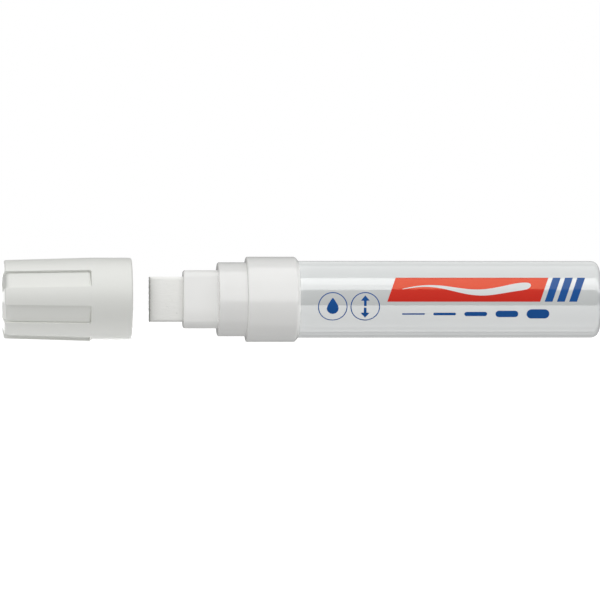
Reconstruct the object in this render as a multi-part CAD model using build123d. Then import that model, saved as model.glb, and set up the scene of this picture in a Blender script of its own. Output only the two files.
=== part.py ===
from build123d import *
import os
from math import asin, cos, hypot, pi, sin, sqrt

# Liquid chalk marker on its side, with its cap pulled off and lying in line in front of the nib.
# Millimetres, +Z up. The axis runs along X with the nib towards -X, the broad face of the nib looks
# along -Y, and the origin is on the table under the middle of the whole length.

# Lengths along the axis, from the closed end of the cap to the rear end of the barrel
CAP_LENGTH = 43.7
CAP_GAP = 5.8
NIB_REACH = 11.4
HOLDER_REACH = 11.4
LAND_LENGTH = 9.5
COLLAR_LENGTH = 17.5
BARREL_LENGTH = 100.7

# Fibre nib
NIB_WIDTH = 15.0
NIB_THICKNESS = 5.0
NIB_EDGE_RADIUS = 1.4
NIB_TIP_RADIUS = 2.3
NIB_TRAVEL = 3.0

# Nib holder: flat-sided block, round spigot, flange
SLOT_CLEARANCE = 0.15
HOLDER_SIDE_WALL = 2.02
HOLDER_FACE_WALL = 2.0
HOLDER_EDGE_RADIUS = 2.3
HOLDER_FRONT_RADIUS = 0.9
SPIGOT_WALL = 1.4
HOLDER_FLANGE = 2.0

# Carrier that grips the root of the nib and slides in the holder
CARRIER_LENGTH = 4.7
CARRIER_BASE = 1.5
CARRIER_WALL = 1.1
CARRIER_CLEARANCE = 0.1
CARRIER_FRONT_GAP = 0.3
CARRIER_REAR_GAP = 1.0
INK_PORT_RADIUS = 1.2

# Front sleeve, whose front is the cap land, and the collar pressed over its rear
SLEEVE_CLEARANCE = 0.05
LAND_WALL = 2.08
LAND_FRONT_RADIUS = 1.3
SLEEVE_SHOULDER = 1.0
SHOULDER_SETBACK = 1.7
COLLAR_CLEARANCE = 0.04
COLLAR_WALL = 1.8
COLLAR_FRONT_CHAMFER = 0.5
COLLAR_REAR_BEVEL_LENGTH = 1.1
COLLAR_REAR_BEVEL_HEIGHT = 1.4

# Barrel
NECK_CLEARANCE = 0.04
NECK_WALL = 1.4
NECK_STEP = 1.62
BEAD_HEIGHT = 0.3
BEAD_WIDTH = 1.6
BEAD_SETBACK = 4.0
BARREL_WALL = 1.4
BARREL_END_WALL = 2.0
BARREL_END_RADIUS = 1.3
BARREL_INNER_RADIUS = 0.8

# Valve
SEAT_THICKNESS = 2.0
GASKET_THICKNESS = 0.8
STEM_RADIUS = 1.6
INK_GAP = 1.4
SEAL_THICKNESS = 1.0
SEAL_OVERLAP = 1.8
SEAL_CLEARANCE = 0.05
HEAD_THICKNESS = 1.5
HEAD_MARGIN = 0.4
TAIL_RADIUS = 2.0
TAIL_CLEARANCE = 0.15
TAIL_END = 0.8
BOSS_GAP = 0.3
BOSS_WALL = 1.2
BOSS_LENGTH = 2.5
CAGE_WALL = 1.05
CAGE_END_WALL = 1.5
CAGE_CLEARANCE = 0.05
CAGE_WINDOWS = 4
CAGE_WINDOW_WIDTH = 4.0
CAGE_WINDOW_LENGTH = 4.6

# Valve spring, a steel coil between the stem's head and the end of the cage
SPRING_LENGTH = 8.7
SPRING_TURNS = 6
SPRING_WIRE = 0.6
SPRING_GUIDE_GAP = 1.3
SPRING_END_GAP = 0.05

# Mixing balls, side by side on the floor of the barrel
BALL_RADIUS = 3.5
BALL_CLEARANCE = 0.1
BALL_SETBACK = 40.0

# Cap shell with sunk flat panels, and the liner inside it
CAP_CLEARANCE = 0.1
CAP_RIM_WALL = 1.4
CAP_RIM_RADIUS = 0.9
CAP_TAPER = 0.83
CAP_SKIRT_LENGTH = 13.5
CAP_DOME_RISE = 1.3
CAP_CORNER_RADIUS = 2.2
CAP_END_WALL = 2.4
PANEL_SIDES = 2
PANELS_PER_SIDE = 3
PANEL_STEP_ANGLE = 54.0
PANEL_MIDDLE_ANGLE = 22.6
PANEL_LENGTH = 30.1
PANEL_WIDTH = 6.4
PANEL_DEPTH = 1.25
PANEL_END_LEAN = 0.5
PANEL_CORNER_RADIUS = 0.8
LINER_GAP = 0.15
LINER_WALL = 0.8
LINER_CLEARANCE = 0.05

# Places along the axis
total_length = (CAP_LENGTH + CAP_GAP + NIB_REACH + HOLDER_REACH
                + LAND_LENGTH + COLLAR_LENGTH + BARREL_LENGTH)
cap_end = -total_length / 2
cap_mouth = cap_end + CAP_LENGTH
nib_tip = cap_mouth + CAP_GAP
holder_front = nib_tip + NIB_REACH
land_front = holder_front + HOLDER_REACH
collar_front = land_front + LAND_LENGTH
collar_rear = collar_front + COLLAR_LENGTH
barrel_end = collar_rear + BARREL_LENGTH
sleeve_shoulder = collar_front + SHOULDER_SETBACK
seat_front = sleeve_shoulder + HOLDER_FLANGE
seat_rear = seat_front + SEAT_THICKNESS
barrel_mouth = seat_rear + GASKET_THICKNESS
carrier_rear = seat_front - NIB_TRAVEL - CARRIER_REAR_GAP
carrier_front = carrier_rear - CARRIER_LENGTH
cavity_front = carrier_front - CARRIER_FRONT_GAP
nib_root = carrier_rear - CARRIER_BASE
head_front = seat_rear + SEAL_THICKNESS
head_rear = head_front + HEAD_THICKNESS
cage_wall_front = head_rear + SPRING_LENGTH
cage_rear = cage_wall_front + CAGE_END_WALL
barrel_floor = barrel_end - BARREL_END_WALL

# Radii, worked outwards from the nib
holder_width = NIB_WIDTH + 2 * (SLOT_CLEARANCE + HOLDER_SIDE_WALL)
holder_thickness = NIB_THICKNESS + 2 * (SLOT_CLEARANCE + HOLDER_FACE_WALL)
holder_reach = HOLDER_EDGE_RADIUS + hypot(holder_width / 2 - HOLDER_EDGE_RADIUS,
                                          holder_thickness / 2 - HOLDER_EDGE_RADIUS)
nib_reach = NIB_EDGE_RADIUS + hypot(NIB_WIDTH / 2 - NIB_EDGE_RADIUS, NIB_THICKNESS / 2 - NIB_EDGE_RADIUS)
carrier_radius = nib_reach + CARRIER_WALL
cavity_radius = carrier_radius + CARRIER_CLEARANCE
spigot_radius = max(cavity_radius + SPIGOT_WALL, holder_reach)
front_bore = spigot_radius + SLEEVE_CLEARANCE
land_radius = front_bore + LAND_WALL
rear_bore = front_bore + SLEEVE_SHOULDER
flange_radius = rear_bore - SLEEVE_CLEARANCE
collar_bore = land_radius + COLLAR_CLEARANCE
collar_radius = collar_bore + COLLAR_WALL
neck_radius = rear_bore - NECK_CLEARANCE
neck_bore = neck_radius - NECK_WALL
barrel_radius = neck_radius + NECK_STEP
barrel_bore = barrel_radius - BARREL_WALL
axis_height = collar_radius

# Valve radii: the stem outwards, the cage inwards from the neck
seat_hole = STEM_RADIUS + INK_GAP
seal_radius = seat_hole + SEAL_OVERLAP
head_radius = seal_radius + HEAD_MARGIN
boss_radius = neck_bore - BOSS_GAP
boss_bore = boss_radius - BOSS_WALL
cage_radius = boss_bore - CAGE_CLEARANCE
cage_bore = cage_radius - CAGE_WALL
spring_radius = TAIL_RADIUS + SPRING_GUIDE_GAP + SPRING_WIRE / 2

# Cap radii
cap_bore = land_radius + CAP_CLEARANCE
cap_radius = cap_bore + CAP_RIM_WALL
cap_end_radius = cap_radius - CAP_TAPER
liner_bore = spigot_radius + LINER_GAP
liner_radius = liner_bore + LINER_WALL
shell_bore = liner_radius + LINER_CLEARANCE
liner_mouth = cap_mouth - LAND_LENGTH
shell_floor = cap_end + CAP_END_WALL
skirt_front = cap_mouth - CAP_SKIRT_LENGTH
panel_end = cap_end + PANEL_LENGTH


def turned(*corners):
    """Solid turned about the axis from an outline of corners (x, radius) or (x, radius, rounding)."""
    points = [(corner[0], corner[1]) for corner in corners]
    roundings = [corner[2] if len(corner) == 3 else 0 for corner in corners]
    if any(roundings):
        outline = FilletPolyline(*points, radius=roundings, close=True)
    else:
        outline = Polyline(*points, close=True)
    return revolve(make_face(outline), Axis.X)


def bar(front, rear, thickness, width, edge_radius):
    """Straight bar along the axis, with its width upright and its long edges rounded."""
    section = Plane.YZ.offset(front) * RectangleRounded(thickness, width, edge_radius)
    return extrude(section, amount=rear - front)


def rod(front, rear, radius):
    """Plain round rod along the axis."""
    return turned((front, 0), (front, radius), (rear, radius), (rear, 0))


def ring(front, rear, bore, radius):
    """Plain round ring about the axis."""
    return turned((front, bore), (front, radius), (rear, radius), (rear, bore))


def make_nib():
    """Fibre block with rounded long edges and a rounded writing edge across its full width."""
    tip_radius = min(NIB_TIP_RADIUS, 0.48 * NIB_THICKNESS)
    half = NIB_THICKNESS / 2
    corners = [(nib_root, -half), (nib_tip, -half), (nib_tip, half), (nib_root, half)]
    plan = make_face(FilletPolyline(*corners, radius=[0, tip_radius, tip_radius, 0], close=True))
    blade = extrude(plan, amount=NIB_WIDTH, both=True)
    return bar(nib_tip, nib_root, NIB_THICKNESS, NIB_WIDTH, NIB_EDGE_RADIUS) & blade


def make_nib_holder():
    """Flat-sided block in front of the sleeve, on a round spigot whose flange sits on the shoulder."""
    block = bar(holder_front, cavity_front, holder_thickness, holder_width, HOLDER_EDGE_RADIUS)
    block = fillet(block.faces().sort_by(Axis.X)[0].edges(), HOLDER_FRONT_RADIUS)
    spigot = rod(land_front, seat_front, spigot_radius)
    flange = rod(sleeve_shoulder, seat_front, flange_radius)
    slot = bar(holder_front, seat_front, NIB_THICKNESS + 2 * SLOT_CLEARANCE,
               NIB_WIDTH + 2 * SLOT_CLEARANCE, NIB_EDGE_RADIUS + SLOT_CLEARANCE)
    return block + spigot + flange - slot - rod(cavity_front, seat_front, cavity_radius)


def make_nib_carrier():
    """Round slide with a socket for the root of the nib and two ink ports through its base."""
    socket = bar(carrier_front, nib_root, NIB_THICKNESS, NIB_WIDTH, NIB_EDGE_RADIUS)
    port = Rot(0, 90, 0) * Cylinder(INK_PORT_RADIUS, 3 * CARRIER_LENGTH)
    port_height = (STEM_RADIUS + NIB_WIDTH / 2) / 2
    carrier = rod(carrier_front, carrier_rear, carrier_radius) - socket
    for height in (-port_height, port_height):
        carrier -= Pos(carrier_rear, 0, height) * port
    return carrier


def make_front_sleeve():
    """Sleeve over the barrel's neck, with a snap groove for its bead; the bare front is the cap land."""
    half_groove = BEAD_WIDTH / 2 + NECK_CLEARANCE
    bead = barrel_mouth + BEAD_SETBACK
    return turned(
        (land_front, front_bore),
        (land_front, land_radius, LAND_FRONT_RADIUS),
        (collar_rear, land_radius),
        (collar_rear, rear_bore),
        (bead + half_groove + BEAD_HEIGHT, rear_bore),
        (bead + half_groove, rear_bore + BEAD_HEIGHT),
        (bead - half_groove, rear_bore + BEAD_HEIGHT),
        (bead - half_groove - BEAD_HEIGHT, rear_bore),
        (sleeve_shoulder, rear_bore),
        (sleeve_shoulder, front_bore),
    )


def make_collar():
    """Thick ring with bevelled edges pressed over the sleeve, where the rim of the cap stops."""
    return turned(
        (collar_front, collar_bore),
        (collar_front, collar_radius - COLLAR_FRONT_CHAMFER),
        (collar_front + COLLAR_FRONT_CHAMFER, collar_radius),
        (collar_rear - COLLAR_REAR_BEVEL_LENGTH, collar_radius),
        (collar_rear, collar_radius - COLLAR_REAR_BEVEL_HEIGHT),
        (collar_rear, collar_bore),
    )


def make_barrel():
    """Ink bottle: neck with a snap bead, straight body and closed flat rear end."""
    bead = barrel_mouth + BEAD_SETBACK
    half_bead = BEAD_WIDTH / 2
    return turned(
        (barrel_mouth, neck_bore),
        (barrel_mouth, neck_radius),
        (bead - half_bead - BEAD_HEIGHT, neck_radius),
        (bead - half_bead, neck_radius + BEAD_HEIGHT),
        (bead + half_bead, neck_radius + BEAD_HEIGHT),
        (bead + half_bead + BEAD_HEIGHT, neck_radius),
        (collar_rear, neck_radius),
        (collar_rear, barrel_radius),
        (barrel_end, barrel_radius, BARREL_END_RADIUS),
        (barrel_end, 0),
        (barrel_floor, 0),
        (barrel_floor, barrel_bore, BARREL_INNER_RADIUS),
        (collar_rear + BARREL_WALL, barrel_bore),
        (collar_rear + BARREL_WALL, neck_bore),
    )


def make_valve_seat():
    """Disc with the ink hole, clamped by its rim, with a boss behind it that holds the cage."""
    boss = ring(seat_rear, seat_rear + BOSS_LENGTH, boss_bore, boss_radius)
    return ring(seat_front, seat_rear, seat_hole, flange_radius) + boss


def make_valve_stem():
    """Stem from the carrier through the ink hole, with a head for the seal and a guided tail."""
    tail_end = cage_rear + TAIL_END
    return turned(
        (carrier_rear, 0), (carrier_rear, STEM_RADIUS), (head_front, STEM_RADIUS), (head_front, head_radius),
        (head_rear, head_radius), (head_rear, TAIL_RADIUS), (tail_end, TAIL_RADIUS), (tail_end, 0),
    )


def make_spring_cage():
    """Tube behind the seat with ink windows in its wall and a guide hole in its end."""
    tail_hole = TAIL_RADIUS + TAIL_CLEARANCE
    cage = turned(
        (seat_rear, cage_bore), (seat_rear, cage_radius), (cage_rear, cage_radius), (cage_rear, tail_hole),
        (cage_wall_front, tail_hole), (cage_wall_front, cage_bore),
    )
    window_middle = (seat_rear + BOSS_LENGTH + cage_wall_front) / 2
    window = Pos(window_middle, 0, cage_radius) * Box(CAGE_WINDOW_LENGTH, CAGE_WINDOW_WIDTH, cage_radius)
    for index in range(CAGE_WINDOWS):
        cage -= Rot(360 / CAGE_WINDOWS * index, 0, 0) * window
    return cage


def spring_point(turn):
    """Place on the centre line of the spring after a number of turns."""
    first = head_rear + SPRING_END_GAP + SPRING_WIRE / 2
    last = cage_wall_front - SPRING_END_GAP - SPRING_WIRE / 2
    angle = 2 * pi * turn
    along = first + (last - first) * turn / SPRING_TURNS
    return Vector(along, spring_radius * cos(angle), spring_radius * sin(angle))


def spring_direction(turn):
    """Direction of the wire after a number of turns."""
    pitch = (cage_wall_front - head_rear - 2 * SPRING_END_GAP - SPRING_WIRE) / SPRING_TURNS
    angle = 2 * pi * turn
    along = pitch / (2 * pi)
    return Vector(along, -spring_radius * sin(angle), spring_radius * cos(angle)).normalized()


def make_valve_spring():
    """Round wire carried along the coil, a pair of tangent arcs for each quarter turn."""
    step = 0.25
    arcs = []
    for quarter in range(int(SPRING_TURNS / step)):
        start = spring_point(quarter * step)
        end = spring_point((quarter + 1) * step)
        leave = spring_direction(quarter * step)
        arrive = spring_direction((quarter + 1) * step)
        chord = end - start
        along = chord.dot(leave + arrive)
        spread = 2 * (1 - leave.dot(arrive))
        reach = (sqrt(along * along + spread * chord.dot(chord)) - along) / spread
        joint = (start + end + (leave - arrive) * reach) * 0.5
        middle = Edge.make_tangent_arc(start, leave, joint)
        arcs.append(middle)
        arcs.append(Edge.make_tangent_arc(joint, middle % 1, end))
    wire_end = Plane(origin=spring_point(0), z_dir=spring_direction(0))
    return sweep(wire_end * Circle(SPRING_WIRE / 2), path=Wire(arcs))


def spring_gap():
    """Least free gap between one turn of the spring and the next, measured on points."""
    steps = 48
    count = int(SPRING_TURNS * steps)
    points = [spring_point(index / steps) for index in range(count + 1)]
    apart = [(a - b).length for i, a in enumerate(points) for b in points[i + steps // 2:]]
    return min(apart) - SPRING_WIRE


def make_mixing_ball(side):
    """One of two balls that touch the floor of the barrel side by side."""
    reach = barrel_bore - BALL_CLEARANCE - BALL_RADIUS
    angle = asin((BALL_RADIUS + BALL_CLEARANCE) / reach)
    return Pos(collar_rear + BALL_SETBACK, side * reach * sin(angle), -reach * cos(angle)) * Sphere(BALL_RADIUS)


def make_cap_shell():
    """Round cap, tapered to a domed closed end, with flat panels sunk into it in two opposite groups."""
    dome_radius = (cap_end_radius ** 2 + CAP_DOME_RISE ** 2) / (2 * CAP_DOME_RISE)
    half_angle = asin(cap_end_radius / dome_radius) / 2
    dome_middle = (cap_end + dome_radius * (1 - cos(half_angle)), dome_radius * sin(half_angle))
    dome_edge = (cap_end + CAP_DOME_RISE, cap_end_radius)
    rim = (cap_mouth, cap_radius)
    dome = ThreePointArc((cap_end, 0), dome_middle, dome_edge)
    sides = Polyline(dome_edge, (skirt_front, cap_radius), rim, (cap_mouth, cap_bore), (liner_mouth, cap_bore),
                     (liner_mouth, shell_bore), (shell_floor, shell_bore), (shell_floor, 0), (cap_end, 0))
    outline = make_face(dome + sides)
    for corner, rounding in ((dome_edge, CAP_CORNER_RADIUS), (rim, CAP_RIM_RADIUS)):
        vertex = outline.vertices().sort_by_distance((*corner, 0))[0]
        outline = fillet(vertex, rounding)
    shell = revolve(outline, Axis.X)
    for side in range(PANEL_SIDES):
        middle = 90 + PANEL_MIDDLE_ANGLE + 360 / PANEL_SIDES * side
        for index in range(PANELS_PER_SIDE):
            turn = middle + PANEL_STEP_ANGLE * (index - (PANELS_PER_SIDE - 1) / 2)
            shell -= Rot(turn, 0, 0) * make_panel_cut()
    return shell


def make_panel_cut():
    """Block that sinks one flat panel above the axis, its floor following the taper of the cap."""
    slope = CAP_TAPER / (skirt_front - cap_end - CAP_DOME_RISE)
    start = cap_end - PANEL_DEPTH
    surface = cap_radius - slope * max(skirt_front - panel_end, 0)
    floor = surface - PANEL_DEPTH
    top = cap_radius + PANEL_DEPTH
    lean = PANEL_END_LEAN / PANEL_DEPTH
    side = make_face(Polyline((start, floor - slope * (panel_end - start)), (panel_end - PANEL_END_LEAN, floor),
                              (panel_end + lean * (top - surface), top), (start, top), close=True))
    block = extrude(Plane.XZ * side, amount=PANEL_WIDTH / 2, both=True)
    end_edges = block.faces().sort_by(Axis.X)[-1].edges().filter_by(Axis.Y, reverse=True)
    return fillet(end_edges, PANEL_CORNER_RADIUS)


def make_cap_liner():
    """Thin inner cup of the cap, whose lip meets the front of the land when the cap is on."""
    return turned(
        (liner_mouth, liner_bore),
        (liner_mouth, liner_radius),
        (shell_floor, liner_radius),
        (shell_floor, 0),
        (shell_floor + LINER_WALL, 0),
        (shell_floor + LINER_WALL, liner_bore),
    )


pieces = {
    "barrel": make_barrel(),
    "front_sleeve": make_front_sleeve(),
    "collar": make_collar(),
    "nib_holder": make_nib_holder(),
    "nib": make_nib(),
    "nib_carrier": make_nib_carrier(),
    "valve_seat": make_valve_seat(),
    "valve_stem": make_valve_stem(),
    "valve_seal": ring(seat_rear, head_front, STEM_RADIUS + SEAL_CLEARANCE, seal_radius),
    "valve_spring": make_valve_spring(),
    "spring_cage": make_spring_cage(),
    "mouth_gasket": ring(seat_rear, barrel_mouth, neck_bore, neck_radius),
    "mixing_ball_a": make_mixing_ball(-1),
    "mixing_ball_b": make_mixing_ball(1),
    "cap_shell": make_cap_shell(),
    "cap_liner": make_cap_liner(),
}

os.makedirs("parts", exist_ok=True)
for name, piece in pieces.items():
    export_step(Pos(0, 0, axis_height) * piece, f"parts/{name}.step")

coil_length = 2 * pi * SPRING_TURNS * hypot(spring_radius, SPRING_LENGTH / SPRING_TURNS / (2 * pi))
print(f"total length {total_length:.2f}, axis height {axis_height:.3f}")
print(f"radii: land {land_radius:.3f}, collar {collar_radius:.3f}, barrel {barrel_radius:.3f}, cap {cap_radius:.3f}")
print(f"cap travel to closed {collar_front - cap_mouth:.3f}, cap bore {cap_bore:.3f}, liner bore {liner_bore:.3f}")
print(f"spring gap {spring_gap():.2f}, volume {pieces['valve_spring'].volume:.2f},"
      f" wire section times length {pi * SPRING_WIRE ** 2 / 4 * coil_length:.2f}")
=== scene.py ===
import logging
import math
from dataclasses import dataclass
from enum import Enum
from typing import Any, Sequence

import bmesh
import bpy
import numpy as np
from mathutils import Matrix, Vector


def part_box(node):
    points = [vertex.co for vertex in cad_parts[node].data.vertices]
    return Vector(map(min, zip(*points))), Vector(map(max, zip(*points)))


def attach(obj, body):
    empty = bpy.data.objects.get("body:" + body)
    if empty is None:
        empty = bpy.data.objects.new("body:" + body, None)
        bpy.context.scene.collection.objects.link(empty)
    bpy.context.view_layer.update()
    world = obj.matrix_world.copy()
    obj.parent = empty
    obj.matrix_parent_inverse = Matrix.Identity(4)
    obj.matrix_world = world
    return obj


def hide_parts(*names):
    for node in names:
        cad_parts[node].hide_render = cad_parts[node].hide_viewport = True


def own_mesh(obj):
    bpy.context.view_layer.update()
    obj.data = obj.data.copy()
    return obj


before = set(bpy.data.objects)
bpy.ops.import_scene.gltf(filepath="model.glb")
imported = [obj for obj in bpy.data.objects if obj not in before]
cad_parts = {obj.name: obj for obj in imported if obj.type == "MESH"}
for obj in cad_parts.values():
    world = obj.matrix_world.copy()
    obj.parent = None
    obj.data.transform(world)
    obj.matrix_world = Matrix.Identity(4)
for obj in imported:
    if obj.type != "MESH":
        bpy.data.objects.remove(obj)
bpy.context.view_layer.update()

# Liquid chalk marker with its cap pulled off and lying in line in front of the nib.
# Sizes are in millimetres about the marker's axis: x along it to the rear, y away from the camera, z up.
# They become metres in the frame when a mesh is made.

MM = 0.001
WELD = 1e-7
TINY = 1e-9
SMOOTH_ANGLE = math.radians(33)
RUN_POINTS = 4
LOG = logging.getLogger("chalk_marker")

Array = np.ndarray


class Body(Enum):
    """Moving bodies of the marker."""

    MARKER = "marker"
    NIB_UNIT = "nib_unit"
    CAP = "cap"


class LightGroup(Enum):
    """Pieces that a lamp may be kept to."""

    BARREL = "lit_barrel"
    PRINT = "lit_print"
    FRONT = "lit_front"
    NIB = "lit_nib"
    CAP = "lit_cap"


@dataclass(frozen=True)
class Span:
    """Room that a CAD node takes up about the axis.

    Attributes:
        front: end towards the nib.
        rear: end towards the rear of the barrel.
        radius: half its height, which is the radius of a turned node.
        thickness: size away from the camera.
    """

    front: float
    rear: float
    radius: float
    thickness: float

    @classmethod
    def of(cls, node: str) -> "Span":
        """Span of a CAD node, read from its box in the frame."""
        low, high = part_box(node)
        return cls(low.x / MM, high.x / MM, (high.z - low.z) / 2 / MM, (high.y - low.y) / MM)


def axis_height() -> float:
    """Height of the marker's axis above the table, in millimetres."""
    low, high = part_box("barrel")
    return (low.z + high.z) / 2 / MM


def unit(vectors: Array) -> Array:
    """Vectors scaled to length 1; a vector without length stays as it is."""
    length = np.linalg.norm(vectors, axis=-1, keepdims=True)
    return vectors / np.where(length < TINY, 1.0, length)


def ease(share: Array) -> Array:
    """Soft step from 0 to 1: three times the square less twice the cube of the clipped share."""
    clipped = np.clip(share, 0.0, 1.0)
    return clipped * clipped * (3.0 - 2.0 * clipped)


def clustered(reach: float, count: int, pull: float = 3.0) -> Array:
    """Places from -reach to reach that crowd at zero: reach times sinh(s) over sinh(pull) for even s.

    Args:
        reach: largest distance from zero.
        count: number of places.
        pull: how strongly they crowd.

    Returns:
        Array of places in rising order.
    """
    even = np.linspace(-pull, pull, count)
    return reach * np.sinh(even) / math.sinh(pull)


def full_turn(count: int) -> Array:
    """Even angles round a full turn, without the last that meets the first."""
    return np.linspace(0.0, 2 * np.pi, count, endpoint=False)


def disc_grid(count: int, rings: int = 12) -> tuple[Array, Array]:
    """Grid of a disc: its angle, and its share of the way from the middle to the rim."""
    angle, share = np.meshgrid(full_turn(count), np.linspace(0.0, 1.0, rings))
    return angle, share


def about_axis(x: Array, radius: Array, angle: Array) -> Array:
    """Points (x, minus radius times cosine, radius times sine) for angles above the camera side."""
    parts = np.broadcast_arrays(x, -radius * np.cos(angle), radius * np.sin(angle))
    return np.stack(parts, -1)


def rounded_outline(corners: Sequence[Sequence[float]], arc_steps: int = 8, support: float = 0.15) -> Array:
    """Closed outline whose corners are rounded by arcs.

    At a corner with rounding r and half angle h between its two sides, the arc starts and ends r / tan(h)
    from the corner, and its centre lies on the bisector at r / sin(h). Points on the arc turn evenly from the
    first touching point to the last. Each straight run gets RUN_POINTS points, two of them close to its ends
    to hold the shading flat.

    Args:
        corners: (x, radius) or (x, radius, rounding) for each corner, in order round the outline.
        arc_steps: steps in each arc.
        support: distance of the outer run points from the ends of the run.

    Returns:
        Array of shape (points, 2), with arc_steps + 1 + RUN_POINTS points for each corner.
    """
    points = np.array([corner[:2] for corner in corners], float)
    rounding = np.array([corner[2] if len(corner) > 2 else 0.0 for corner in corners])
    back = unit(np.roll(points, 1, 0) - points)
    ahead = unit(np.roll(points, -1, 0) - points)
    half = np.arccos(np.clip((back * ahead).sum(1), -1.0, 1.0)) / 2
    reach = (rounding / np.tan(half))[:, None]
    first = points + back * reach
    last = points + ahead * reach
    centre = points + unit(back + ahead) * (rounding / np.sin(half))[:, None]
    turn = (np.pi - 2 * half)[:, None]
    share = np.linspace(0.0, 1.0, arc_steps + 1)
    fore = (np.sin((1 - share) * turn) / np.sin(turn))[..., None]
    aft = (np.sin(share * turn) / np.sin(turn))[..., None]
    arcs = centre[:, None] + fore * (first - centre)[:, None] + aft * (last - centre)[:, None]
    run = np.roll(first, -1, 0) - last
    length = np.maximum(np.linalg.norm(run, axis=1), TINY)
    near = np.minimum(support / length, 1 / RUN_POINTS)
    stops = np.stack([near, np.full_like(near, 1 / 3), np.full_like(near, 2 / 3), 1 - near], 1)
    runs = last[:, None] + stops[..., None] * run[:, None]
    return np.concatenate([arcs, runs], 1).reshape(-1, 2)


def turned(outline: Array, columns: int = 192) -> Array:
    """Surface swept by an outline of (x, radius) round the axis.

    Args:
        outline: array of shape (rows, 2).
        columns: steps round the axis.

    Returns:
        Array of shape (rows, columns, 3).
    """
    return about_axis(outline[:, :1], outline[:, 1:], full_turn(columns))


def rounded_bar_loop(thickness: float, width: float, rounding: float, quarter: int = 40,
                     turn: tuple[float, float] = (0.0, 90.0)) -> Array:
    """Section of a bar: a rectangle with rounded corners, thickness along y and width along z.

    Half of the points in each quarter of the loop lie on the broad side, the rest on the corner's arc and
    the narrow side. The arc's radius is the rounding over the difference of the sines of the two angles that
    it turns between.

    Args:
        thickness: size along y.
        width: size along z.
        rounding: size of the corner along z.
        quarter: points in a quarter of the loop, a multiple of 8.
        turn: angles from the broad side at which the arc starts and ends, in degrees.

    Returns:
        Array of shape (4 * quarter, 2) of (y, z), anticlockwise from the middle of the +y side.
    """
    start, stop = np.radians(turn)
    radius = rounding / (np.sin(stop) - np.sin(start))
    centre_y = thickness / 2 - radius * np.cos(start)
    flat_y = centre_y + radius * np.cos(stop)
    flat_z = width / 2 - rounding
    side = np.linspace(0.0, 1.0, quarter // 2, endpoint=False)
    bend = np.linspace(start, stop, quarter // 4, endpoint=False)
    end = np.linspace(1.0, 0.0, quarter // 4, endpoint=False)
    rise = np.stack([np.full_like(side, thickness / 2), side * flat_z], 1)
    arc = np.stack([centre_y + radius * np.cos(bend), flat_z + radius * (np.sin(bend) - np.sin(start))], 1)
    over = np.stack([end * flat_y, np.full_like(end, width / 2)], 1)
    first = np.concatenate([rise, arc, over])
    mirrored = np.concatenate([[[0.0, width / 2]], first[:0:-1]]) * [-1.0, 1.0]
    upper = np.concatenate([first, mirrored])
    return np.concatenate([upper, -upper])


def crowned(loop: Array, crown: float) -> Array:
    """Bar section whose broad faces swell by crown times one less the square of z over half the width.

    Args:
        loop: array of (y, z).
        crown: swell at the middle of each broad face.

    Returns:
        Array of the same shape.
    """
    swell = crown * np.clip(1 - (loop[:, 1] / loop[:, 1].max()) ** 2, 0.0, None)
    side = np.sign(loop[:, 0]) * (np.abs(loop[:, 0]) > TINY)
    return loop + np.stack([side * swell, np.zeros_like(swell)], 1)


def lofted(places: Sequence[float], loops: Sequence[Array]) -> Array:
    """Surface through section loops at places along the axis.

    Args:
        places: x of each loop.
        loops: arrays of (y, z) with equal numbers of points.

    Returns:
        Array of shape (loops, points, 3).
    """
    section = np.stack(loops)
    x = np.broadcast_to(np.asarray(places, float)[:, None, None], section.shape[:2] + (1,))
    return np.concatenate([x, section], -1)


def ripple(points: Array, finest: float, coarsest: float, count: int, seed: int) -> Array:
    """Smooth random relief, mostly between -1 and 1: a sum of plane cosine waves of random heading and phase.

    Args:
        points: array of shape (..., 3).
        finest: shortest wavelength.
        coarsest: longest wavelength.
        count: number of waves.
        seed: seed of the random draws.

    Returns:
        Array of shape (...), one value for each point.
    """
    draw = np.random.default_rng(seed)
    heading = unit(draw.normal(size=(count, 3)))
    length = np.exp(draw.uniform(math.log(finest), math.log(coarsest), count))
    phase = draw.uniform(0.0, 2 * np.pi, count)
    waves = np.cos(points @ (heading * (2 * np.pi / length)[:, None]).T + phase)
    return waves.sum(-1) / math.sqrt(count)


def make_mesh(name: str, surface: Array, height: float) -> bpy.types.Mesh:
    """Closed mesh from a surface grid that joins up both ways, with doubles merged and faces outward.

    Args:
        name: name of the mesh.
        surface: array of shape (rows, columns, 3) in millimetres about the axis.
        height: height of the axis above the table.

    Returns:
        Smooth-shaded mesh in metres, with its edges split where they are sharp.
    """
    rows, columns = surface.shape[:2]
    index = np.arange(rows * columns).reshape(rows, columns)
    right = np.roll(index, -1, 1)
    quads = np.stack([index, right, np.roll(right, -1, 0), np.roll(index, -1, 0)], -1).reshape(-1, 4)
    vertices = (surface.reshape(-1, 3) + [0.0, 0.0, height]) * MM
    mesh = bpy.data.meshes.new(name)
    mesh.from_pydata(vertices.tolist(), [], quads.tolist())
    work = bmesh.new()
    work.from_mesh(mesh)
    bmesh.ops.remove_doubles(work, verts=work.verts, dist=WELD)
    bmesh.ops.delete(work, geom=[edge for edge in work.edges if not edge.link_faces], context="EDGES")
    bmesh.ops.delete(work, geom=[vertex for vertex in work.verts if not vertex.link_faces], context="VERTS")
    bmesh.ops.recalc_face_normals(work, faces=work.faces)
    work.to_mesh(mesh)
    work.free()
    mesh.shade_smooth()
    mesh.set_sharp_from_angle(angle=SMOOTH_ANGLE)
    return mesh


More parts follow.
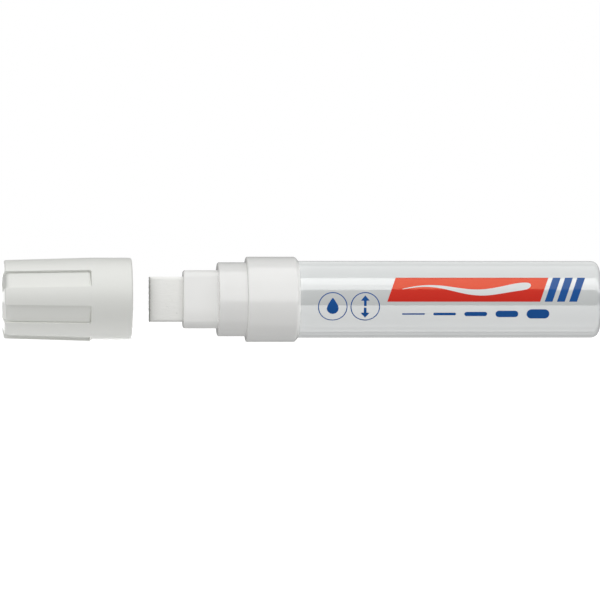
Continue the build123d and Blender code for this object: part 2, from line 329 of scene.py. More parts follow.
def film_surface(plan: Array, radius: float, lift: float, joined: bool) -> Array:
    """Thin closed film of ink wrapped on the barrel from a plan grid.

    A plan point (u, v) lies at x = u and at the angle v / radius above the camera side. The top lies lift
    above the barrel and the foot half as far below its skin. Rows run over the top and back along the foot,
    and open ends are closed by a row of points half way between.

    Args:
        plan: array of shape (rows, columns, 2), in millimetres on the unrolled barrel.
        radius: radius of the barrel.
        lift: thickness of the film above the barrel.
        joined: whether the last column meets the first.

    Returns:
        Array of shape (2 * rows, columns or columns + 2, 3).
    """
    top = np.full(plan.shape[1], lift)
    foot = np.full(plan.shape[1], -lift / 2)
    if not joined:
        plan = np.concatenate([plan[:, :1], plan, plan[:, -1:]], 1)
        top = np.pad(top, 1, constant_values=lift / 4)
        foot = np.pad(foot, 1, constant_values=lift / 4)
    both = np.concatenate([plan, plan[::-1]])
    rows = plan.shape[0]
    away = radius + np.concatenate([np.tile(top, (rows, 1)), np.tile(foot, (rows, 1))])
    return about_axis(both[..., 0], away, both[..., 1] / radius)


def linear(colour: str) -> tuple[float, float, float, float]:
    """Linear colour from an sRGB hex value.

    Args:
        colour: hex value such as #e6e6e4.

    Returns:
        Red, green, blue and full alpha.
    """
    parts = [int(colour[place:place + 2], 16) / 255 for place in (1, 3, 5)]
    shares = [part / 12.92 if part <= 0.04045 else ((part + 0.055) / 1.055) ** 2.4 for part in parts]
    return (*shares, 1.0)


def fill_inputs(tree: bpy.types.NodeTree, node: bpy.types.Node, inputs: dict[Any, Any]) -> None:
    """Gives inputs of a node their values and links.

    Args:
        tree: node tree that holds the node.
        node: node to fill.
        inputs: value, or socket to link from, for each input by name or place.
    """
    for key, value in inputs.items():
        if isinstance(value, bpy.types.NodeSocket):
            tree.links.new(value, node.inputs[key])
        else:
            node.inputs[key].default_value = value


def add_node(tree: bpy.types.NodeTree, kind: str, inputs: dict[Any, Any] | None = None,
             **settings: Any) -> bpy.types.Node:
    """Adds a node with its settings, values and links.

    Args:
        tree: node tree to add to.
        kind: Blender's name for the kind of node.
        inputs: value, or socket to link from, for each input by name or place.
        settings: properties of the node.

    Returns:
        The new node.
    """
    node = tree.nodes.new(kind)
    for key, value in settings.items():
        setattr(node, key, value)
    fill_inputs(tree, node, inputs or {})
    return node


@dataclass(frozen=True)
class Shading:
    """Material while it is being dressed.

    Attributes:
        tree: its node tree.
        shader: its principled shader.
        place: Object coordinates, in metres.
    """

    tree: bpy.types.NodeTree
    shader: bpy.types.Node
    place: bpy.types.NodeSocket

    def feed(self, inputs: dict[str, Any]) -> None:
        """Gives inputs of the shader their values and links."""
        fill_inputs(self.tree, self.shader, inputs)


@dataclass(frozen=True)
class Finish:
    """Base of the finishes: a named material with a principled shader.

    The colour drifts between two hex values in soft patches, the gloss is worn unevenly, and relief gives
    the skin its grain. All three are noise on Object coordinates.

    Attributes:
        name: what the real material is.
        colour: main colour, sRGB hex.
        second: colour that the main one drifts to, sRGB hex.
        roughness: middle roughness.
        slot: material slot in the record for its new pieces; not used.
        group: light group that its new pieces belong to.
        ior: index of refraction.
        metallic: 1 for a bare metal.
        patch: size of a patch of the colour drift.
        wear: size of a patch of the wear, 0 for none.
        spread: how far the wear takes the roughness to either side.
        grain: size of the grain, 0 for none.
        grain_depth: depth of the grain.
        grain_detail: number of finer layers in the grain.
        grain_edge: strength of each finer layer.
    """

    name: str
    colour: str
    second: str
    roughness: float
    slot: str = ""
    group: LightGroup | None = None
    ior: float = 1.49
    metallic: float = 0.0
    patch: float = 10.0
    wear: float = 0.0
    spread: float = 0.0
    grain: float = 0.0
    grain_depth: float = 0.0
    grain_detail: float = 2.0
    grain_edge: float = 0.5

    def material(self) -> bpy.types.Material:
        """The material, made on first use.

        Returns:
            Material that carries the finish's name.
        """
        found = bpy.data.materials.get(self.name)
        if found:
            return found
        material = bpy.data.materials.new(self.name)
        material.use_nodes = True
        tree = material.node_tree
        tree.nodes.clear()
        shader = add_node(tree, "ShaderNodeBsdfPrincipled", {"Metallic": self.metallic, "IOR": self.ior})
        add_node(tree, "ShaderNodeOutputMaterial", {"Surface": shader.outputs["BSDF"]})
        place = add_node(tree, "ShaderNodeTexCoord").outputs["Object"]
        self.dress(Shading(tree, shader, place))
        material.diffuse_color = linear(self.colour)
        return material

    def dress(self, work: Shading) -> None:
        """Adds the colour drift, the wear and the grain.

        Args:
            work: material to dress.
        """
        cloud = add_node(work.tree, "ShaderNodeTexNoise",
                         {"Vector": work.place, "Scale": 1 / (self.patch * MM), "Detail": 2.0})
        blend = add_node(work.tree, "ShaderNodeMix",
                         {0: cloud.outputs["Fac"], 6: linear(self.colour), 7: linear(self.second)},
                         data_type="RGBA")
        work.feed({"Base Color": blend.outputs[2], "Roughness": self.roughness})
        if self.wear:
            wear = add_node(work.tree, "ShaderNodeTexNoise",
                            {"Vector": work.place, "Scale": 1 / (self.wear * MM), "Detail": 4.0})
            level = add_node(work.tree, "ShaderNodeMapRange",
                             {"Value": wear.outputs["Fac"], "From Min": 0.3, "From Max": 0.7,
                              "To Min": self.roughness - self.spread,
                              "To Max": self.roughness + self.spread})
            work.feed({"Roughness": level.outputs["Result"]})
        if self.grain:
            self.relief(work, self.grain_height(work))

    def grain_height(self, work: Shading) -> bpy.types.NodeSocket:
        """Height of the grain between 0 and 1.

        Args:
            work: material to dress.

        Returns:
            Socket that gives the height.
        """
        noise = add_node(work.tree, "ShaderNodeTexNoise",
                         {"Vector": work.place, "Scale": 1 / (self.grain * MM), "Detail": self.grain_detail,
                          "Roughness": self.grain_edge})
        return noise.outputs["Fac"]

    def relief(self, work: Shading, height: bpy.types.NodeSocket) -> None:
        """Turns the height of the grain into relief on the material in work."""
        bump = add_node(work.tree, "ShaderNodeBump",
                        {"Height": height, "Distance": self.grain_depth * MM, "Strength": 1.0})
        work.feed({"Normal": bump.outputs["Normal"]})


@dataclass(frozen=True)
class PolishedMoulding(Finish):
    """Polypropylene moulded against a polished tool: clear reflections with a trace of orange peel."""

    patch: float = 14.0
    wear: float = 3.0
    spread: float = 0.02
    grain: float = 2.4
    grain_depth: float = 0.0016
    grain_detail: float = 1.0


@dataclass(frozen=True)
class SatinMoulding(Finish):
    """Natural white plastic from a lightly spark-eroded tool: a soft sheen over a fine even grain.

    The real grain is near 0.1 mm, too fine for the render, so it is drawn coarser.
    """

    patch: float = 9.0
    wear: float = 2.2
    spread: float = 0.03
    grain: float = 0.5
    grain_depth: float = 0.002
    grain_detail: float = 3.0
    grain_edge: float = 0.6


@dataclass(frozen=True)
class BondedFibre(Finish):
    """Polyester fibres bonded into a block: matt and streaked along the fibres, with painted shade in a
    ragged band along the cut writing edge.

    A single fibre is far too fine for the render, so the grain is as wide as a bundle of fibres.

    Attributes:
        stretch: width of a bundle over its length.
        speck: size of the patches that the specks are picked from.
        speck_colour: colour of the specks, sRGB hex.
        cut_end: x of the cut writing edge.
        edge_shade_border: depth of the ragged border of the painted shade at the writing edge.
        edge_shade_grit: size of the grains that make that border ragged.
        edge_shade_fade: how far the painted shade reaches before and behind that border.
        edge_shade_colour: colour of the painted shade at the writing edge, sRGB hex.
        fluff: weight of the sheen that loose fibre ends give.
    """

    grain: float = 0.3
    grain_depth: float = 0.05
    grain_detail: float = 4.0
    grain_edge: float = 0.65
    stretch: float = 0.14
    speck: float = 1.1
    speck_colour: str = "#b9bab6"
    cut_end: float = -50.5
    edge_shade_border: float = 0.7
    edge_shade_grit: float = 0.5
    edge_shade_fade: tuple[float, float] = (0.15, 0.2)
    edge_shade_colour: str = "#9c9d9a"
    fluff: float = 0.15

    def grain_height(self, work: Shading) -> bpy.types.NodeSocket:
        """Height of the grain, drawn out along x to streaks."""
        along = add_node(work.tree, "ShaderNodeMapping",
                         {"Vector": work.place, "Scale": (self.stretch, 1.0, 1.0)})
        return super().grain_height(Shading(work.tree, work.shader, along.outputs["Vector"]))

    def dress(self, work: Shading) -> None:
        """Streaks along x, a few specks, painted shade in a ragged band at the writing edge, and fibrous
        relief.

        Args:
            work: material to dress.
        """
        tree = work.tree
        place = work.place
        streak = self.grain_height(work)
        blend = add_node(tree, "ShaderNodeMix", {0: streak, 6: linear(self.colour), 7: linear(self.second)},
                         data_type="RGBA")
        speck = add_node(tree, "ShaderNodeTexNoise",
                         {"Vector": place, "Scale": 1 / (self.speck * MM), "Detail": 2.0})
        spot = add_node(tree, "ShaderNodeMapRange",
                        {"Value": speck.outputs["Fac"], "From Min": 0.66, "From Max": 0.8, "To Max": 0.4})
        marked = add_node(tree, "ShaderNodeMix",
                          {0: spot.outputs["Result"], 6: blend.outputs[2], 7: linear(self.speck_colour)},
                          data_type="RGBA")
        axis = add_node(tree, "ShaderNodeSeparateXYZ", {"Vector": place})
        # Painted shade: a ragged band at the writing edge is mixed towards a darker grey.
        grit = add_node(tree, "ShaderNodeTexNoise",
                        {"Vector": place, "Scale": 1 / (self.edge_shade_grit * MM), "Detail": 3.0})
        ragged = add_node(tree, "ShaderNodeMath",
                          {0: grit.outputs["Fac"], 1: -self.edge_shade_border * MM, 2: axis.outputs["X"]},
                          operation="MULTIPLY_ADD")
        before, behind = self.edge_shade_fade
        end = add_node(tree, "ShaderNodeMapRange",
                       {"Value": ragged.outputs["Value"], "From Min": (self.cut_end - before) * MM,
                        "From Max": (self.cut_end + behind) * MM, "To Min": 0.9, "To Max": 0.0})
        cut = add_node(tree, "ShaderNodeMix",
                       {0: end.outputs["Result"], 6: marked.outputs[2], 7: linear(self.edge_shade_colour)},
                       data_type="RGBA")
        work.feed({"Base Color": cut.outputs[2], "Roughness": self.roughness, "Sheen Weight": self.fluff})
        self.relief(work, streak)


@dataclass(frozen=True)
class ScreenInk(Finish):
    """Screen-printed ink cured to a gloss, with faint uneven cover.

    Attributes:
        sheen: tint of its reflections, sRGB hex. The red is a warm pearl ink.
        sheen_level: strength of its reflections, 0.5 for a plain gloss.
    """

    patch: float = 4.0
    wear: float = 3.0
    spread: float = 0.02
    sheen: str = "#ffffff"
    sheen_level: float = 0.12

    def dress(self, work: Shading) -> None:
        """Adds the strength and the tint of the reflections to the material in work."""
        super().dress(work)
        work.feed({"Specular IOR Level": self.sheen_level, "Specular Tint": linear(self.sheen)})


@dataclass(frozen=True)
class MouldedRubber(Finish):
    """Nitrile rubber moulded matt: dusty, with a fine pebble."""

    patch: float = 1.5
    wear: float = 0.8
    spread: float = 0.06
    grain: float = 0.3
    grain_depth: float = 0.01

    def grain_height(self, work: Shading) -> bpy.types.NodeSocket:
        """Height of the pebble: the distance to the nearest of many points."""
        pebble = add_node(work.tree, "ShaderNodeTexVoronoi",
                          {"Vector": work.place, "Scale": 1 / (self.grain * MM)})
        return pebble.outputs["Distance"]


@dataclass(frozen=True)
class DrawnWire(Finish):
    """Stainless wire drawn through a die: bright, with an oil tint and fine scores."""

    patch: float = 1.2
    wear: float = 0.25
    spread: float = 0.08
    grain: float = 0.12
    grain_depth: float = 0.003


@dataclass(frozen=True)
class PolishedBall(Finish):
    """Steel ball ground and tumbled bright, with a slight tarnish and a haze of fine scratches."""

    patch: float = 2.0
    wear: float = 0.4
    spread: float = 0.05


@dataclass(frozen=True)
class TableTop(Finish):
    """White lacquered table, lit from below as well, so that it stays pale right up to the marker.

    Attributes:
        glow: strength of the light from below.
    """

    patch: float = 300.0
    glow: float = 0.55

    def dress(self, work: Shading) -> None:
        """Adds the light from below to the material in work."""
        super().dress(work)
        work.feed({"Emission Color": linear(self.colour), "Emission Strength": self.glow})


BARREL_PLASTIC = PolishedMoulding(
    "gloss polypropylene barrel", "#d5d8d7", "#d2d5d5", 0.09, "barrel_plastic", LightGroup.BARREL)
FRONT_PLASTIC = SatinMoulding(
    "satin polypropylene front", "#ebebe9", "#e8e8e6", 0.13, "front_plastic", LightGroup.FRONT)
CAP_PLASTIC = SatinMoulding(
    "satin polypropylene cap", "#eaebe7", "#e8e9e4", 0.42, "cap_plastic", LightGroup.CAP)
LINER_PLASTIC = SatinMoulding(
    "satin polypropylene liner", "#ecece8", "#e4e4e0", 0.4, "liner_plastic", LightGroup.CAP)
NIB_FIBRE = BondedFibre(
    "bonded polyester fibre", "#eeeeeb", "#e5e5e2", 0.95, "nib_fibre", LightGroup.NIB)
RED_INK = ScreenInk(
    "red screen ink", "#dd2722", "#d72521", 0.09, "barrel_plastic", LightGroup.PRINT, sheen="#ffbc90",
    sheen_level=0.5)
BLUE_INK = ScreenInk(
    "blue screen ink", "#1c5aa4", "#1a549b", 0.09, "barrel_plastic", LightGroup.PRINT)
WHITE_INK = ScreenInk(
    "white screen ink", "#eef0f0", "#e8ebeb", 0.12, "barrel_plastic", LightGroup.PRINT)
SPRING_STEEL = DrawnWire(
    "drawn stainless wire", "#c9c9cb", "#bdbcbb", 0.28, "spring_steel", LightGroup.FRONT, 1.5, 1.0)
VALVE_PLASTIC = SatinMoulding("acetal valve", "#e2e3e1", "#dadbd9", 0.36, ior=1.48)
SEAL_RUBBER = MouldedRubber("nitrile rubber seal", "#222326", "#2b2c2f", 0.65, ior=1.52)
BALL_STEEL = PolishedBall("polished steel ball", "#d6d6d8", "#cccbca", 0.12, ior=1.5, metallic=1.0)
TABLE = TableTop("white lacquered table", "#f7f7f6", "#f5f5f4", 0.8)


def light_collection(group: LightGroup) -> bpy.types.Collection:
    """Collection that holds a light group, made on first use."""
    return bpy.data.collections.get(group.value) or bpy.data.collections.new(group.value)


def add_piece(name: str, surface: Array, body: Body, finish: Finish, *replaces: str) -> bpy.types.Object:
    """Makes a piece from a surface, dresses it and lets it ride on its body.

    Args:
        name: name of the piece.
        surface: closed surface grid in millimetres about the axis.
        body: body that it moves with.
        finish: finish of the piece, which also gives its light group.
        replaces: CAD nodes that it stands for.

    Returns:
        The new object.
    """
    piece = bpy.data.objects.new(name, make_mesh(name, surface, axis_height()))
    bpy.context.scene.collection.objects.link(piece)
    light_collection(finish.group).objects.link(piece)
    piece.data.materials.append(finish.material())
    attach(piece, body.value)
    if replaces:
        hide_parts(*replaces)
    LOG.info("%s: %d faces on %s", name, len(piece.data.polygons), body.value)
    return piece


def dress_nodes(finish: Finish, *nodes: str) -> None:
    """Gives CAD nodes that stay their finish.

    Args:
        finish: finish of the nodes.
        nodes: names of the nodes.
    """
    for node in nodes:
        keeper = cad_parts[node]
        if not keeper.material_slots:
            keeper.data.materials.append(None)
        for place in keeper.material_slots:
            place.material = finish.material()
        LOG.info("%s: CAD node dressed in %s", node, finish.name)


@dataclass
class Barrel:
    """Ink bottle with the print on its camera side.

    Attributes:
        wall: thickness of the side wall.
        end_wall: thickness of the rear end.
        end_rounding: rounding of the rear edge.
        shoulder_rounding: rounding of the shoulder that meets the collar.
        neck_step: height of the step from the neck to the body.
        neck_wall: thickness of the neck.
        neck_rounding: rounding of the neck's front edge.
        floor_rounding: rounding inside the rear end.
        gate_radius: radius of the gate dimple in the rear end.
        gate_depth: depth of that dimple.
        gate_rounding: rounding of its edges.
        columns: steps round the axis.
        film: thickness of the ink.
    """

    wall: float = 1.4
    end_wall: float = 2.0
    end_rounding: float = 2.4
    shoulder_rounding: float = 0.12
    neck_step: float = 1.62
    neck_wall: float = 1.4
    neck_rounding: float = 0.2
    floor_rounding: float = 0.8
    gate_radius: float = 1.6
    gate_depth: float = 0.3
    gate_rounding: float = 0.1
    columns: int = 256
    film: float = 0.02

    def build(self) -> None:
        """Makes the bottle and its print."""
        surface = turned(self.outline(), self.columns)
        add_piece("barrel_shell", surface, Body.MARKER, BARREL_PLASTIC, "barrel")
        radius = Span.of("barrel").radius
        for name, plan, ink, lift, joined in Label().films():
            add_piece(name, film_surface(plan, radius, lift * self.film, joined), Body.MARKER, ink)

    def outline(self) -> Array:
        """Closed outline of the bottle: neck, shoulder, body, rear end with its gate dimple, and inside.

        Returns:
            Array of (x, radius).
        """
        span = Span.of("barrel")
        shoulder = Span.of("collar").rear
        neck = span.radius - self.neck_step
        neck_bore = neck - self.neck_wall
        bore = span.radius - self.wall
        floor = span.rear - self.end_wall
        dimple = span.rear - self.gate_depth
        return rounded_outline([
            (span.front, neck_bore),
            (span.front, neck, self.neck_rounding),
            (shoulder, neck),
            (shoulder, span.radius, self.shoulder_rounding),
            (span.rear, span.radius, self.end_rounding),
            (span.rear, self.gate_radius + self.gate_depth, self.gate_rounding),
            (dimple, self.gate_radius, self.gate_rounding),
            (dimple, 0.0),
            (floor, 0.0),
            (floor, bore, self.floor_rounding),
            (shoulder + self.wall, bore),
            (shoulder + self.wall, neck_bore),
        ])


@dataclass
class Label:
    """Plain print on the unrolled barrel: u along the axis, v up round the barrel from the camera side.

    It has two round signs, a slanted band with a chalk stroke, slanted bars and a row of line widths. Sizes
    of the drop and of the arrows are shares of the sign's radius.

    Attributes:
        band_start: u of the band's foot at its front end.
        band_length: length of the band.
        band_low: v of the band's lower edge.
        band_high: v of the band's upper edge.
        slant: u gained for each millimetre of v.
        bars: number of slanted bars behind the band.
        bar_width: width of a bar along u.
        bar_pitch: distance from bar to bar.
        stroke_inset: distance from the band's front end to the chalk stroke.
        stroke_short: how much shorter the stroke is than the band.
        stroke_wave: height of its wave.
        stroke_turns: half turns of its wave.
        stroke_fine: width at its start.
        stroke_gain: width gained towards its end.
        stroke_blunt: power that keeps its ends blunt.
        stroke_lift: thickness of the stroke's film over that of the other films.
        widths: line widths in the sample row.
        sample_start: u of the first sample.
        sample_length: length of a sample.
        sample_pitch: distance from sample to sample.
        sample_level: v of the row.
        sign_radius: outer radius of a round sign.
        sign_line: width of a sign's line.
        sign_places: u of the middle of each sign.
        sign_level: v of the middle of the signs.
        drop_size: radius of the drop's round part.
        drop_pinch: share of its width that is lost at its point.
        drop_rise: how far its point is drawn out, in its radii.
        drop_sink: how far it is lowered, in its radii.
        arrow_length: length of an arrow.
        arrow_shaft: half width of its shaft.
        arrow_head: half width of its head.
        arrow_neck: share of its length that is shaft.
        arrow_gap: distance from the sign's middle to the arrow, in its lengths.
    """

    band_start: float = 28.0
    band_length: float = 51.0
    band_low: float = -0.8
    band_high: float = 7.6
    slant: float = 0.36
    bars: int = 3
    bar_width: float = 2.6
    bar_pitch: float = 4.1
    stroke_inset: float = 5.0
    stroke_short: float = 8.0
    stroke_wave: float = 1.1
    stroke_turns: float = 2.5
    stroke_fine: float = 0.35
    stroke_gain: float = 2.6
    stroke_blunt: int = 16
    stroke_lift: float = 1.5
    widths: tuple[float, ...] = (0.5, 0.9, 1.5, 2.3, 3.3)
    sample_start: float = 33.0
    sample_length: float = 7.6
    sample_pitch: float = 10.4
    sample_level: float = -5.0
    sign_radius: float = 4.9
    sign_line: float = 0.32
    sign_places: tuple[float, float] = (9.9, 20.7)
    sign_level: float = -2.5
    drop_size: float = 0.4
    drop_pinch: float = 0.45
    drop_rise: float = 0.75
    drop_sink: float = 0.25
    arrow_length: float = 0.72
    arrow_shaft: float = 0.09
    arrow_head: float = 0.3
    arrow_neck: float = 0.5
    arrow_gap: float = 0.08

    def films(self) -> list[tuple[str, Array, Finish, float, bool]]:
        """Every film of the print.

        Returns:
            Name, plan, ink, thickness in films, and whether the plan closes on itself, for each film.
        """
        made = [("print_band", self.slab(self.band_start, self.band_length), RED_INK, 1.0, False),
                ("print_chalk_stroke", self.chalk_stroke(), WHITE_INK, self.stroke_lift, False)]
        bar_start = self.band_start + self.band_length + self.bar_pitch - self.bar_width
        for number in range(self.bars):
            slab = self.slab(bar_start + number * self.bar_pitch, self.bar_width)
            made.append((f"print_bar_{number + 1}", slab, BLUE_INK, 1.0, False))
        for number, width in enumerate(self.widths):
            stroke = self.sample(self.sample_start + number * self.sample_pitch, width)
            made.append((f"print_width_{number + 1}", stroke, BLUE_INK, 1.0, False))
        for number, place in enumerate(self.sign_places):
            made.append((f"print_ring_{number + 1}", self.ring(place), BLUE_INK, 1.0, True))
        drop_place, arrow_place = self.sign_places
        made.append(("print_drop", self.drop(drop_place), BLUE_INK, 1.0, True))
        for number, side in enumerate((-1.0, 1.0)):
            made.append((f"print_arrow_{number + 1}", self.arrow(arrow_place, side), BLUE_INK, 1.0, False))
        return made

    def slab(self, start: float, length: float) -> Array:
        """Slanted slab: u = start + share of the length + slant times v, between the band's edges."""
        u, v = np.meshgrid(np.linspace(0.0, length, 60), np.linspace(self.band_low, self.band_high, 40))
        return np.stack([start + u + self.slant * (v - self.band_low), v], -1)

    def chalk_stroke(self) -> Array:
        """White stroke in the band: a slow sine wave that swells softly from a fine start to a broad end.

        Its ends are closed by the root of one less a high power of the place, which runs from -1 to 1.

        Returns:
            Plan grid of the stroke.
        """
        share, side = np.meshgrid(np.linspace(0.0, 1.0, 160), np.linspace(-0.5, 0.5, 9))
        middle = (self.band_low + self.band_high) / 2
        middle = middle + self.stroke_wave * np.sin(self.stroke_turns * np.pi * share)
        blunt = np.sqrt(np.clip(1 - (2 * share - 1) ** self.stroke_blunt, 0.0, 1.0))
        off = side * ((self.stroke_fine + self.stroke_gain * ease(share)) * blunt)
        u = self.band_start + self.stroke_inset + (self.band_length - self.stroke_short) * share
        return np.stack([u + self.slant * off, middle + off], -1)

    def sample(self, start: float, width: float) -> Array:
        """Sample stroke with round ends: a bar whose half width follows a circle at each end.

        Args:
            start: u of its front end.
            width: width of the stroke.

        Returns:
            Plan grid of the stroke.
        """
        eased = 0.5 - 0.5 * np.cos(np.linspace(0.0, np.pi, 50))
        share, side = np.meshgrid(eased, np.linspace(-1.0, 1.0, 11))
        along = share * self.sample_length
        end = np.minimum(np.minimum(along, self.sample_length - along), width / 2)
        half = np.sqrt(np.clip(width * end - end * end, 0.0, None))
        return np.stack([start + along, self.sample_level + side * half], -1)

    def ring(self, place: float) -> Array:
        """Round outline of a sign: circles from the inner to the outer radius."""
        radii = np.linspace(self.sign_radius - self.sign_line, self.sign_radius, 4)
        angle, radius = np.meshgrid(full_turn(96), radii)
        return np.stack([place + radius * np.cos(angle), self.sign_level + radius * np.sin(angle)], -1)

    def drop(self, place: float) -> Array:
        """Drop of ink: a circle whose upper half is drawn out to a point by the cube of the sine.

        Args:
            place: u of the middle of its sign.

        Returns:
            Plan grid of the drop.
        """
        angle, share = disc_grid(80)
        size = self.drop_size * self.sign_radius
        point = np.clip(np.sin(angle), 0.0, None) ** 3
        across = np.cos(angle) * (1 - self.drop_pinch * point)
        up = np.sin(angle) + self.drop_rise * point - self.drop_sink
        return np.stack([place + size * share * across, self.sign_level + size * share * up], -1)

    def arrow(self, place: float, side: float) -> Array:
        """One half of a shake sign: a shaft that widens at once into a head and narrows to a point.

        Args:
            place: u of the middle of the sign.
            side: 1 for the arrow that points up, -1 for the one that points down.

        Returns:
            Plan grid of the arrow.
        """
        share, across = np.meshgrid(np.linspace(0.0, 1.0, 40), np.linspace(-1.0, 1.0, 9))
        length = self.arrow_length * self.sign_radius
        shaft = self.arrow_shaft * self.sign_radius
        head = self.arrow_head * self.sign_radius * (1 - share) / (1 - self.arrow_neck)
        half = np.where(share < self.arrow_neck, shaft, head)
        v = self.sign_level + side * (self.arrow_gap * length + share * length)
        return np.stack([place + across * half, v], -1)


@dataclass
class FrontEnd:
    """Cap land, collar and the block that holds the nib.

    Attributes:
        land_rounding: rounding of the land's front edge.
        land_bore_rounding: rounding of the land's inner front edge.
        sleeve_wall: thickness of the land.
        rear_wall: thickness of the sleeve behind its inner step.
        collar_bore_gap: gap between the sleeve and the collar.
        collar_bore_rounding: rounding of the collar's inner front edge.
        collar_front_rounding: rounding of the collar's front edge.
        collar_bevel_length: length of the bevel at the collar's rear.
        collar_bevel_height: height of that bevel.
        collar_bevel_rounding: rounding where that bevel starts.
        collar_rear_rounding: rounding where it ends.
        gate_radius: radius of the gate mark on the collar.
        gate_place: distance of the gate mark behind the collar's front.
        gate_level: height of the gate mark on the unrolled collar above the camera side.
        gate_rise: height of the gate mark's ring over its rim.
        gate_sink: depth of its rim under the skin.
        gate_root: depth of its foot under the skin.
        block_width: width of the nib block, upright.
        block_thickness: thickness of the nib block.
        block_crown: how far its broad faces swell in the middle.
        block_rounding: height of the rounding of its long edges.
        block_turn: angles from the broad face at which that rounding starts and ends, in degrees.
        block_front_rounding: rounding of its front edge, as long as it is high at the narrow sides.
        block_front_share: share of that height on the broad faces.
        slot_gap: gap round the nib.
        slot_rounding: rounding of the slot's corners.
        slot_lip: bevel round the slot's mouth.
        spigot_gap: gap between the block's spigot and the land.
        flange: length of the flange behind the spigot.
        cavity_wall: wall round the cavity behind the slot.
        cavity_gap: gap between the cavity's front and the nib's carrier.
    """

    land_rounding: float = 0.6
    land_bore_rounding: float = 0.15
    sleeve_wall: float = 2.08
    rear_wall: float = 1.08
    collar_bore_gap: float = 0.04
    collar_bore_rounding: float = 0.12
    collar_front_rounding: float = 0.55
    collar_bevel_length: float = 1.1
    collar_bevel_height: float = 1.4
    collar_bevel_rounding: float = 1.2
    collar_rear_rounding: float = 0.25
    gate_radius: float = 0.55
    gate_place: float = 6.9
    gate_level: float = 6.3
    gate_rise: float = 0.05
    gate_sink: float = 0.02
    gate_root: float = 0.2
    block_width: float = 19.34
    block_thickness: float = 9.3
    block_crown: float = 0.5
    block_rounding: float = 2.2
    block_turn: tuple[float, float] = (24.0, 58.0)
    block_front_rounding: float = 0.9
    block_front_share: float = 0.35
    slot_gap: float = 0.15
    slot_rounding: float = 1.55
    slot_lip: float = 0.15
    spigot_gap: float = 0.05
    flange: float = 2.0
    cavity_wall: float = 1.4
    cavity_gap: float = 0.3

    def build(self) -> None:
        """Makes the sleeve, the collar with its gate mark, and the nib block."""
        made = [("cap_land_sleeve", turned(self.sleeve_outline()), ["front_sleeve"]),
                ("collar_ring", turned(self.collar_outline()), ["collar"]),
                ("collar_gate_mark", self.gate_mark(), []),
                ("nib_block", self.block_surface(), ["nib_holder"])]
        for name, surface, replaces in made:
            add_piece(name, surface, Body.MARKER, FRONT_PLASTIC, *replaces)

    def sleeve_outline(self) -> Array:
        """Closed outline of the sleeve, with the step in its bore behind the land.

        Returns:
            Array of (x, radius).
        """
        span = Span.of("front_sleeve")
        shoulder = Span.of("nib_holder").rear - self.flange
        return rounded_outline([
            (span.front, span.radius - self.sleeve_wall, self.land_bore_rounding),
            (span.front, span.radius, self.land_rounding),
            (span.rear, span.radius),
            (span.rear, span.radius - self.rear_wall),
            (shoulder, span.radius - self.rear_wall),
            (shoulder, span.radius - self.sleeve_wall),
        ])

    def collar_outline(self) -> Array:
        """Closed outline of the collar, its bevels softened as the tool leaves them.

        Returns:
            Array of (x, radius).
        """
        span = Span.of("collar")
        bore = Span.of("front_sleeve").radius + self.collar_bore_gap
        return rounded_outline([
            (span.front, bore, self.collar_bore_rounding),
            (span.front, span.radius, self.collar_front_rounding),
            (span.rear - self.collar_bevel_length, span.radius, self.collar_bevel_rounding),
            (span.rear, span.radius - self.collar_bevel_height, self.collar_rear_rounding),
            (span.rear, bore),
        ])

    def gate_mark(self) -> Array:
        """Small scar where the plastic entered the tool: a low ring on the collar's side.

        The surface is a round plan on the unrolled collar, raised by the sine of the way from its middle to
        its rim, let into the skin there and closed by a foot below.

        Returns:
            Closed surface grid.
        """
        span = Span.of("collar")
        angle, share = disc_grid(40)
        x = span.front + self.gate_place + self.gate_radius * share * np.cos(angle)
        turn = (self.gate_level + self.gate_radius * share * np.sin(angle)) / span.radius
        rise = self.gate_rise * np.sin(np.pi * share) - self.gate_sink
        top = about_axis(x, span.radius + rise, turn)
        foot = about_axis(x, span.radius - self.gate_root, turn)
        return np.concatenate([top, foot[::-1]])

    def block_surface(self) -> Array:
        """Nib block on its spigot, lofted from the slot's lip over the outside and back through the cavity.

        The front edge turns through a quarter of an ellipse: for an angle s the section is smaller by the
        rounding times one less the sine of s, at the rounding times one less the cosine of s.

        Returns:
            Closed surface grid.
        """
        span = Span.of("nib_holder")
        nib = Span.of("nib")
        land = Span.of("front_sleeve")
        slot_thickness = nib.thickness + 2 * self.slot_gap
        slot_width = 2 * nib.radius + 2 * self.slot_gap
        slot = rounded_bar_loop(slot_thickness, slot_width, self.slot_rounding)
        lip = rounded_bar_loop(slot_thickness + 2 * self.slot_lip, slot_width + 2 * self.slot_lip,
                               self.slot_rounding + self.slot_lip)
        steps = np.linspace(0.0, np.pi / 2, 9)
        inset = self.block_front_rounding * (1 - np.sin(steps))
        front = [self.block_section(gap) for gap in inset]
        front_places = span.front + self.block_front_rounding * (1 - np.cos(steps))
        block = front[-1]
        heading = unit(block)
        spigot_radius = land.radius - self.sleeve_wall - self.spigot_gap
        spigot = heading * spigot_radius
        flange = heading * span.radius
        cavity = heading * (spigot_radius - self.cavity_wall)
        shoulder = span.rear - self.flange
        cavity_front = Span.of("nib_carrier").front - self.cavity_gap
        run = np.linspace(span.front + self.block_front_rounding, land.front, 6)[1:]
        places = [cavity_front, span.front + self.slot_lip, span.front, *front_places, *run, land.front,
                  shoulder, shoulder, span.rear, span.rear, cavity_front]
        rear = [spigot, spigot, flange, flange, cavity, cavity]
        return lofted(places, [slot, slot, lip, *front, *[block] * len(run), *rear])

    def block_section(self, gap: float) -> Array:
        """Section of the nib block, smaller by a gap on its narrow sides and by a share of it on the broad.

        Args:
            gap: how much it is smaller on either side.

        Returns:
            Array of (y, z).
        """
        thickness = self.block_thickness - 2 * self.block_front_share * gap
        width = self.block_width - 2 * gap
        loop = rounded_bar_loop(thickness, width, self.block_rounding - gap, turn=self.block_turn)
        return crowned(loop, self.block_crown)


